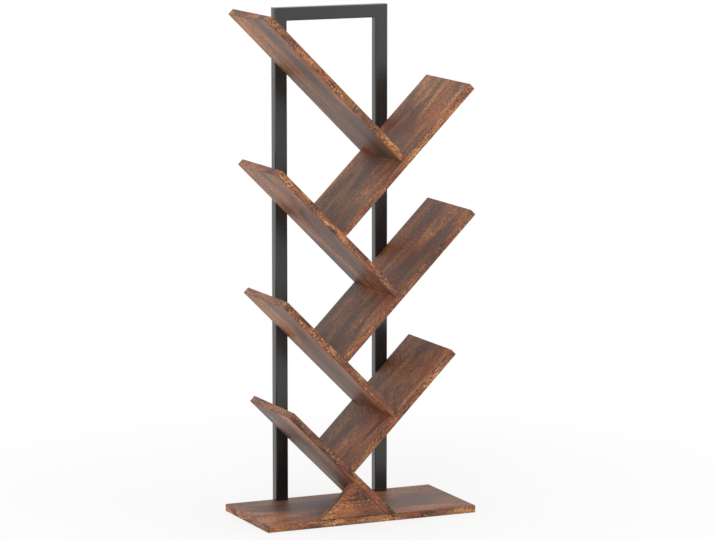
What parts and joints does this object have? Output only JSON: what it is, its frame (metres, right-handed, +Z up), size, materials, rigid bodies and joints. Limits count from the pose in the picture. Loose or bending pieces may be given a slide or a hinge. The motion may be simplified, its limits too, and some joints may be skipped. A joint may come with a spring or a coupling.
{
  "type": "tree shaped bookshelf",
  "caption": "Tree shaped bookshelf with slanted boards that branch left and right from a zigzag trunk, on a flat base with a triangular brace, screwed to a tall black steel frame behind.",
  "frame": {"origin": "on the floor, under the middle of the shelf's overall width and depth", "axes": "+Z up, +X to the right as seen from the front, +Y towards the steel frame at the back"},
  "size_m": [0.473, 0.2328, 1.0596],
  "materials": {
    "laminate": "rustic brown laminate on particleboard, satin",
    "black_steel": "black powder coat, semi-matt",
    "black_screw": "black coated steel screw",
    "zinc_steel": "bright zinc plated steel",
    "cast_zinc": "die cast zinc, dull grey",
    "black_nylon": "moulded nylon, matt black",
    "beech": "plain turned beech"
  },
  "bodies": {
    "root": {"base_board": "laminate", "left_arm_1": "laminate", "left_arm_2": "laminate", "left_arm_3": "laminate", "left_arm_4": "laminate", "right_arm_1": "laminate", "right_arm_2": "laminate", "right_arm_3": "laminate", "foot_brace": "laminate", "frame_top_bar": "black_steel", "upper_upright_left": "black_steel", "upper_upright_right": "black_steel", "lower_upright_left": "black_steel", "lower_upright_right": "black_steel", "splice_left": "black_steel", "splice_right": "black_steel", "foot_insert_left": "black_nylon", "foot_insert_right": "black_nylon", "foot_bolt_left": "zinc_steel", "foot_bolt_right": "zinc_steel", "arm_screw_1_front": "zinc_steel", "arm_screw_1_rear": "zinc_steel", "arm_screw_2_front": "zinc_steel", "arm_screw_2_rear": "zinc_steel", "arm_screw_3_front": "zinc_steel", "arm_screw_3_rear": "zinc_steel", "brace_screw_1": "zinc_steel", "brace_screw_2": "zinc_steel", "brace_top_screw": "zinc_steel", "cam_bolt_1_front": "zinc_steel", "cam_bolt_1_rear": "zinc_steel", "cam_bolt_2_front": "zinc_steel", "cam_bolt_2_rear": "zinc_steel", "cam_bolt_3_front": "zinc_steel", "cam_bolt_3_rear": "zinc_steel", "cam_1_front": "cast_zinc", "cam_1_rear": "cast_zinc", "cam_2_front": "cast_zinc", "cam_2_rear": "cast_zinc", "cam_3_front": "cast_zinc", "cam_3_rear": "cast_zinc", "dowel_1": "beech", "dowel_2": "beech", "dowel_3": "beech", "frame_screw_left_1": "black_screw", "frame_screw_left_2": "black_screw", "frame_screw_left_3": "black_screw", "frame_screw_left_4": "black_screw", "frame_screw_right_1": "black_screw", "frame_screw_right_2": "black_screw", "frame_screw_right_3": "black_screw", "splice_screw_left_upper": "black_screw", "splice_screw_left_lower": "black_screw", "splice_screw_right_upper": "black_screw", "splice_screw_right_lower": "black_screw"}
  },
  "joints": []
}
